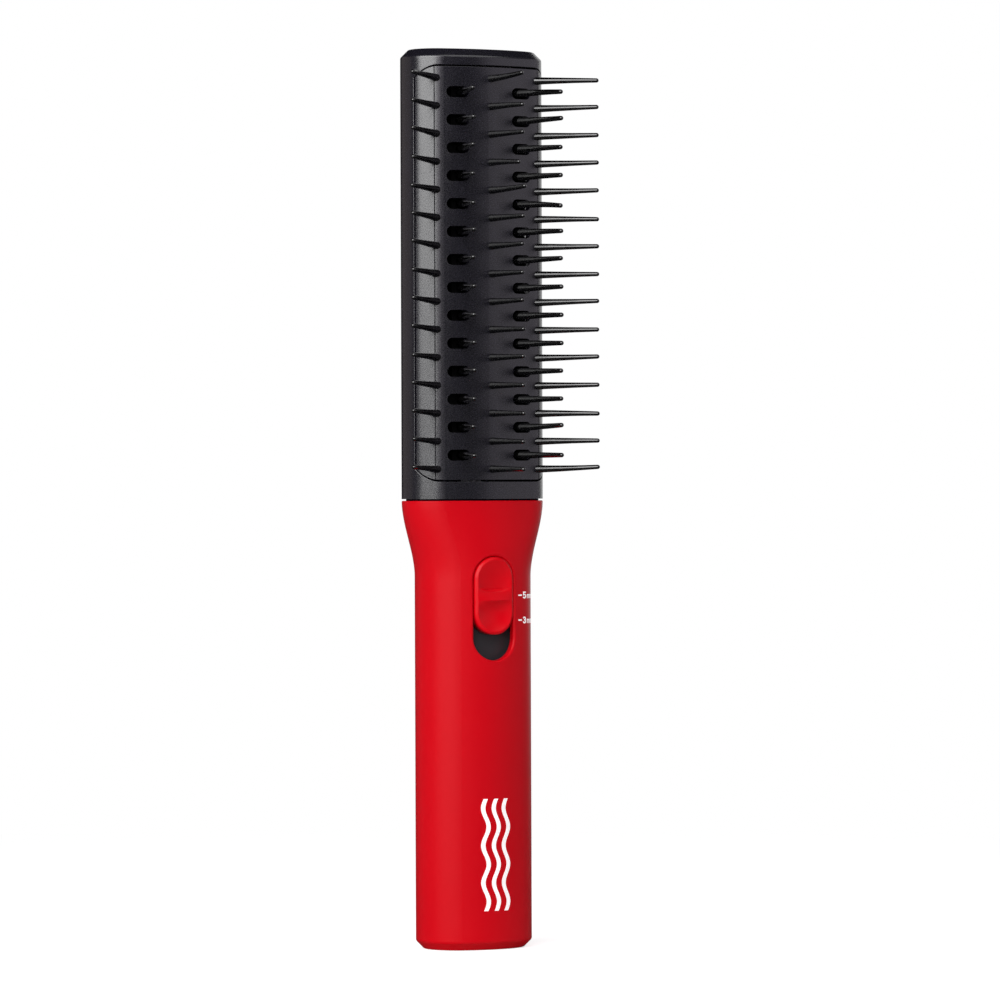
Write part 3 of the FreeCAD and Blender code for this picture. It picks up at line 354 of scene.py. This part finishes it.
def materials():
    """One material for each of the record's slots."""
    return {
        "head_plastic": shell_plastic_painted_skirt_shade("head_plastic", CHARCOAL, roughness=0.27, grain=SHELL_GRAIN),
        "pad_plastic": grained_plastic("pad_plastic", CHARCOAL, roughness=0.27, level=1.0, grain=SHELL_GRAIN),
        "pin_nylon": gloss_nylon("pin_nylon", NYLON_BLACK),
        "soft_touch_red": soft_touch("soft_touch_red", HANDLE_RED, roughness=0.36, level=0.16),
        "button_red": soft_touch("button_red", BUTTON_RED, roughness=0.3, level=0.2),
        "frame_plastic": grained_plastic("frame_plastic", FRAME_BLACK, 0.5, level=0.15, grain=FRAME_GRAIN),
        "base_plastic": grained_plastic("base_plastic", BASE_GREY, 0.45, level=0.5, grain=BASE_GRAIN),
        "spring_steel": steel("spring_steel", SPRING_STEEL),
        "screw_steel": steel("screw_steel", SCREW_STEEL),
        "white_ink": ink("white_ink"),
    }


def dress(frame, made):
    """Gives every CAD node the material of its slot."""
    for entry in frame["record"]["subparts"]:
        node = frame["nodes"][entry["node"]]
        node.data.materials.clear()
        node.data.materials.append(made[entry["material_slot"]])


def place(across, out, up):
    """Scene point of a place given in millimetres."""
    return Vector((across, -out, up)) * MM


def lean_vector(lean, rise=0.0):
    """Unit vector that leans from straight out towards +X, and upwards, by angles in degrees."""
    turn, lift = math.radians(lean), math.radians(rise)
    return Vector((math.sin(turn) * math.cos(lift), -math.cos(turn) * math.cos(lift), math.sin(lift)))


def surface_out(section, across):
    """How far out an oval's front surface is at a place across it."""
    half_width, half_depth, end = section
    reach = half_width - end
    broad = (reach**2 + half_depth**2 - end**2) / (2 * (half_depth - end))
    turn = math.atan2(reach, broad - half_depth)
    if abs(across) <= broad * math.sin(turn):
        return half_depth - broad + math.sqrt(broad**2 - across**2)
    return math.sqrt(end**2 - (abs(across) - reach) ** 2)


def new_piece(name, form, material, body, node):
    """Finished piece from a bmesh: smooth, dressed, riding on its body and standing for a CAD node."""
    bmesh.ops.recalc_face_normals(form, faces=form.faces)
    mesh = bpy.data.meshes.new(name)
    form.to_mesh(mesh)
    form.free()
    mesh.materials.append(material)
    mesh.shade_smooth()
    piece = bpy.data.objects.new(name, mesh)
    bpy.context.scene.collection.objects.link(piece)
    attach(piece, body)
    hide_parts(node)
    return piece


def ring(form, centre, along, radius):
    """Circle of vertices round a centre line."""
    side = along.orthogonal().normalized()
    over = along.cross(side)
    circle = []
    for number in range(PIN_SIDES):
        angle = 2 * math.pi * number / PIN_SIDES
        circle.append(form.verts.new(centre + (side * math.cos(angle) + over * math.sin(angle)) * radius))
    return circle


def bridge(form, first, second):
    """Quads between two rings with the same number of vertices."""
    count = len(first)
    for number in range(count):
        following = (number + 1) % count
        form.faces.new((first[number], first[following], second[following], second[number]))


def profile_radius(profile, share):
    """Radius at a share of the pin's length, in straight lines between the profile's stations."""
    for (low, low_radius), (high, high_radius) in zip(profile, profile[1:]):
        if share <= high:
            part = (share - low) / (high - low)
            return low_radius + (high_radius - low_radius) * part
    return profile[-1][1]


def add_pin(form, start, along, root, length, profile, bow):
    """One pin in a bmesh: sunk root, tapering shank that bows towards its tip, and a round end."""
    tip_radius = profile[-1][1] * MM
    taper = length * MM - tip_radius

    def centre(share):
        return start + along * (taper * share) + bow * share**2

    rings = [ring(form, start - along * (root * MM), along, profile[0][1] * MM)]
    for step in range(PIN_STEPS + 1):
        share = step / PIN_STEPS
        heading = (along * taper + bow * 2 * share).normalized()
        rings.append(ring(form, centre(share), heading, profile_radius(profile, share) * MM))
    heading = (along * taper + bow * 2).normalized()
    for step in range(1, TIP_STEPS):
        angle = math.pi / 2 * step / TIP_STEPS
        middle = centre(1.0) + heading * (tip_radius * math.sin(angle))
        rings.append(ring(form, middle, heading, tip_radius * math.cos(angle)))
    for first, second in zip(rings, rings[1:]):
        bridge(form, first, second)
    form.faces.new(rings[0])
    apex = form.verts.new(centre(1.0) + heading * tip_radius)
    last = rings[-1]
    for number in range(PIN_SIDES):
        form.faces.new((last[number], last[(number + 1) % PIN_SIDES], apex))


def add_bar(form, middle, along, width, thick, low, high):
    """Flat bar that joins a comb's roots, square to the way its pins stand, from low to high in metres."""
    side = along.cross(Vector((0, 0, 1))).normalized()
    corners = []
    for up in (low, high):
        for across, out in ((-1, -1), (1, -1), (1, 1), (-1, 1)):
            offset = side * (across * width / 2 * MM) + along * (out * thick / 2 * MM)
            corners.append(form.verts.new(Vector((middle.x, middle.y, up)) + offset))
    for face in ((0, 1, 2, 3), (7, 6, 5, 4), (0, 4, 5, 1), (1, 5, 6, 2), (2, 6, 7, 3), (3, 7, 4, 0)):
        form.faces.new([corners[number] for number in face])


def pin_heights(rows):
    """Heights of a column's pins in metres, from the top. Shorter columns sit halfway between the others."""
    low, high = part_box("fixed_pins_centre")
    pitch = (high.z - low.z - 2 * STRIP_END * MM) / (FIXED_ROWS - 1)
    shift = (FIXED_ROWS - rows) / 2 * pitch
    return [high.z - STRIP_END * MM - shift - row * pitch for row in range(rows)]


def comb(column, node, body, rows, across, lean, root, length, profile, material, chance):
    """One column of pins on its strip, standing for a CAD comb."""
    low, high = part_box(node)
    form = bmesh.new()
    square = lean_vector(lean)
    side = square.cross(Vector((0, 0, 1))).normalized()
    base = place(across, surface_out(HEAD_OVAL, across), 0)
    for row, up in enumerate(pin_heights(rows)):
        rise = COLUMN_RISE[column] + chance.gauss(0, TILT_SCATTER)
        along = lean_vector(lean + chance.gauss(0, TILT_SCATTER), rise)
        sideways, upwards = WORN_PINS.get((column, row), (0.0, 0.0))
        sideways += chance.gauss(0, BEND_SCATTER)
        upwards += chance.gauss(0, BEND_SCATTER)
        bow = (side * -sideways + Vector((0, 0, upwards))) * MM
        add_pin(form, base + Vector((0, 0, up)), along, root, length, profile, bow)
    add_bar(form, base - square * (root * MM), square, STRIP_WIDTH, STRIP_THICK, low.z, high.z)
    return new_piece("pins_" + column, form, material, body, node)


def pins(made):
    """All five columns: three that are fixed to the head, and two that ride on the lifter."""
    chance = random.Random(SEED)
    nylon = made["pin_nylon"]
    fixed = (FIXED_ROOT, FIXED_LENGTH, FIXED_PROFILE, nylon, chance)
    comb("left", "fixed_pins_left", "root", FIXED_ROWS, -SIDE_ACROSS, -SIDE_LEAN, *fixed)
    comb("centre", "fixed_pins_centre", "root", FIXED_ROWS, 0.0, 0.0, *fixed)
    comb("right", "fixed_pins_right", "root", FIXED_ROWS, SIDE_ACROSS, SIDE_LEAN, *fixed)
    moving = (MOVING_ROOT, MOVING_LENGTH, MOVING_PROFILE, nylon, chance)
    comb("moving_left", "moving_pins_left", "lifter", MOVING_ROWS, -MOVING_ACROSS, -MOVING_LEAN, *moving)
    comb("moving_right", "moving_pins_right", "lifter", MOVING_ROWS, MOVING_ACROSS, MOVING_LEAN, *moving)


def crease_up(across):
    """Height of the crease above the ridge at a place across the button."""
    return CREASE_MIDDLE + CREASE_SIDE_RISE * (across / BUTTON_HALF) ** 2


def steps_between(start, finish, count):
    """Heights from start up to, but not including, finish."""
    return [start + (finish - start) * (step / count) for step in range(count)]


def straight_ups(reach, across):
    """Heights of one straight side, from bottom to top, with rows that follow the ridge's edge and crease."""
    crease = crease_up(across)
    lower = steps_between(-reach, RIDGE_EDGE - CREASE_GAP, LOWER_ROWS)
    slope = steps_between(RIDGE_EDGE, crease - CREASE_GAP, SLOPE_ROWS)
    upper = steps_between(crease + CREASE_GAP, reach, UPPER_ROWS)
    return lower + [RIDGE_EDGE - CREASE_GAP] + slope + [crease - CREASE_GAP, crease] + upper + [reach]


def button_outline(radius, reach):
    """Places round an obround of a given end radius, anticlockwise from the lower right."""
    ups = straight_ups(reach, radius)
    points = [(radius, up) for up in ups]
    for step in range(1, BUTTON_END_STEPS):
        angle = math.pi * step / BUTTON_END_STEPS
        points.append((radius * math.cos(angle), reach + radius * math.sin(angle)))
    points += [(-radius, up) for up in reversed(ups)]
    for step in range(1, BUTTON_END_STEPS):
        angle = math.pi + math.pi * step / BUTTON_END_STEPS
        points.append((radius * math.cos(angle), -reach + radius * math.sin(angle)))
    return points


def scoop_depth(inside, radius, across, up, top):
    """Depth of the thumb scoops at a distance inside the outline and a place from the button's middle."""
    share = (inside - BUTTON_EDGE) / (radius - BUTTON_EDGE)
    if share <= 0:
        return 0.0
    bowl = 1 - (1 - min(share, 1.0)) ** 2
    crease = crease_up(across)
    if up >= crease:
        fall = 1 - (1 - SCOOP_TOP_SHARE) * (up - crease) / (top - crease)
    elif up > RIDGE_EDGE:
        share = (up - RIDGE_EDGE) / (crease - RIDGE_EDGE)
        fall = RIDGE_TIP * share + (1 - RIDGE_TIP) * share**RIDGE_ROUNDING
    else:
        fall = 1 - (1 - min((RIDGE_EDGE - up) / LOWER_FLANK, 1.0)) ** 2
    return SCOOP_DEPTH * bowl * fall


def button_insides(radius):
    """Distances inside the outline at which the button's rings run: over its edge, then across its top."""
    edge = [BUTTON_EDGE * step / EDGE_RINGS for step in range(EDGE_RINGS + 1)]
    top = [BUTTON_EDGE + (radius - BUTTON_EDGE) * step / TOP_RINGS for step in range(1, TOP_RINGS + 1)]
    return edge + top


def button(made):
    """Thumb button: crowned top with rounded edges, two scoops and a ridge, on its straight-sided column."""
    low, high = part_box("slider_button")
    radius = (high.x - low.x) / 2 / MM
    middle = (low.z + high.z) / 2 / MM
    reach = (high.z - low.z) / 2 / MM - radius
    foot_out = -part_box("slider_base")[0].y / MM + FOOT_CLEARANCE
    form = bmesh.new()
    outline = button_outline(radius, reach)
    rings = [[form.verts.new(place(across, foot_out, middle + up)) for across, up in outline]]
    for inside in button_insides(radius):
        circle = []
        drop = BUTTON_EDGE_DROP * max(1 - inside / BUTTON_EDGE, 0.0) ** BUTTON_EDGE_CURVE
        for across, up in button_outline(radius - inside, reach):
            depth = drop + scoop_depth(inside, radius, across, up, reach + radius)
            out = surface_out(BUTTON_OVAL, across) - depth
            circle.append(form.verts.new(place(across, out, middle + up)))
        rings.append(circle)
    for first, second in zip(rings, rings[1:]):
        bridge(form, first, second)
    form.faces.new(rings[0])
    bmesh.ops.remove_doubles(form, verts=form.verts, dist=MERGE_DISTANCE * MM)
    return new_piece("thumb_button", form, made["button_red"], "slider", "slider_button")


def softbox(name, turn, rise, distance, width, height, radiance, colour, middle):
    """Softbox seen from the brush at a turn to the right of the camera and a rise, both in degrees."""
    data = bpy.data.lights.new(name, "AREA")
    data.shape = "RECTANGLE"
    data.size = width
    data.size_y = height
    data.energy = radiance * math.pi * width * height
    data.color = colour
    lamp = bpy.data.objects.new(name, data)
    lamp.visible_camera = False
    bpy.context.scene.collection.objects.link(lamp)
    azimuth, elevation = CAMERA_AZIMUTH + math.radians(turn), math.radians(rise)
    flat = math.cos(elevation)
    away = Vector((math.sin(azimuth) * flat, -math.cos(azimuth) * flat, math.sin(elevation)))
    lamp.location = middle + away * distance
    lamp.rotation_euler = away.to_track_quat("Z", "Y").to_euler()


def lights(middle):
    """Big key to the camera's left with a weaker edge, and low panels to the right and behind."""
    for name, settings in SOFTBOXES.items():
        softbox(name, *settings, middle)


def room():
    """Dim room round the brush, which the camera sees as pure white."""
    world = bpy.data.worlds.new("studio")
    world.use_nodes = True
    bpy.context.scene.world = world
    tree = world.node_tree
    seen = tree.nodes.new("ShaderNodeBackground")
    seen.inputs["Color"].default_value = WHITE
    around = tree.nodes["Background"]
    around.inputs["Color"].default_value = WHITE
    around.inputs["Strength"].default_value = ROOM_GLOW
    camera_ray = tree.nodes.new("ShaderNodeLightPath").outputs["Is Camera Ray"]
    look = mixed(tree, camera_ray, around.outputs["Background"], seen.outputs["Background"])
    tree.links.new(look, tree.nodes["World Output"].inputs["Surface"])


def floor_material():
    """Pale floor that the camera sees as white, with a soft shadow only close to the brush."""
    material, tree, shader = node_tree("pale_floor")
    shader.inputs["Base Color"].default_value = FLOOR_GREY
    shader.inputs["Roughness"].default_value = 0.9
    shader.inputs["Specular IOR Level"].default_value = 0.0
    rays = tree.nodes.new("ShaderNodeLightPath").outputs
    shader.inputs["Emission Color"].default_value = WHITE
    tree.links.new(product(tree, rays["Is Camera Ray"], FLOOR_GLOW), shader.inputs["Emission Strength"])
    distance = tree.nodes.new("ShaderNodeVectorMath")
    distance.operation = "LENGTH"
    coordinates = tree.nodes.new("ShaderNodeTexCoord")
    tree.links.new(coordinates.outputs["Object"], distance.inputs[0])
    away = distance.outputs["Value"]
    far = product(tree, mapped(tree, away, WHITE_FADE, (0.0, 1.0), "SMOOTHSTEP"), rays["Is Camera Ray"])
    seen = mixed(tree, far, shader.outputs["BSDF"], glow(tree, 1.0))
    dimming = product(tree, mapped(tree, away, DIM_FADE, DIM_SHARES), rays["Is Glossy Ray"])
    dimmed = mixed(tree, dimming, seen, glow(tree, 0.0))
    tree.links.new(dimmed, tree.nodes["Material Output"].inputs["Surface"])
    return material


def floor():
    """Plain pale floor under the brush."""
    mesh = bpy.data.meshes.new("floor")
    corner_places = [(x * FLOOR_HALF, y * FLOOR_HALF, 0) for x, y in ((-1, -1), (1, -1), (1, 1), (-1, 1))]
    mesh.from_pydata(corner_places, [], [(0, 1, 2, 3)])
    surface = bpy.data.objects.new("floor", mesh)
    bpy.context.scene.collection.objects.link(surface)
    mesh.materials.append(floor_material())
    surface.location.z = -FLOOR_DROP


def camera(low, high):
    """Long lens, at the brush's left and level with its middle, turned by the camera's own small roll."""
    data = bpy.data.cameras.new("camera")
    data.sensor_width = SENSOR
    data.lens = SENSOR * CAMERA_DISTANCE / FRAME_WIDTH
    data.shift_x = SHIFT_RIGHT
    data.shift_y = SHIFT_UP
    data.clip_end = 100
    viewer = bpy.data.objects.new("camera", data)
    bpy.context.scene.collection.objects.link(viewer)
    away = Vector((math.sin(CAMERA_AZIMUTH), -math.cos(CAMERA_AZIMUTH), 0))
    height = low.z + (high.z - low.z) * CAMERA_HEIGHT_SHARE
    aim = away.to_track_quat("Z", "Y").to_matrix().to_4x4()
    roll = Matrix.Rotation(-CAMERA_ROLL, 4, "Z")
    viewer.matrix_world = Matrix.Translation(away * CAMERA_DISTANCE + Vector((0, 0, height))) @ aim @ roll
    bpy.context.scene.camera = viewer


def corners(box):
    """The two corners of a box as plain lists."""
    return [list(box[0]), list(box[1])]


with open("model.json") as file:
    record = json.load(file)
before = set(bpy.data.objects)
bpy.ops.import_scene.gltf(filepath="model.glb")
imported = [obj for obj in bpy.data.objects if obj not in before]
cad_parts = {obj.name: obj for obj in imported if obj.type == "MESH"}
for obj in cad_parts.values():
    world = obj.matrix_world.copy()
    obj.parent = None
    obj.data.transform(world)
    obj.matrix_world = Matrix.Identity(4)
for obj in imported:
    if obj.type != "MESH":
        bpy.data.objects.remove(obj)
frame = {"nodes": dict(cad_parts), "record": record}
cad_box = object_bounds()
finishes = materials()
dress(frame, finishes)
pins(finishes)
button(finishes)
lights(Vector((0, 0, (cad_box[0].z + cad_box[1].z) / 2)))
room()
floor()
camera(*cad_box)
bpy.context.scene.view_settings.view_transform = "Standard"
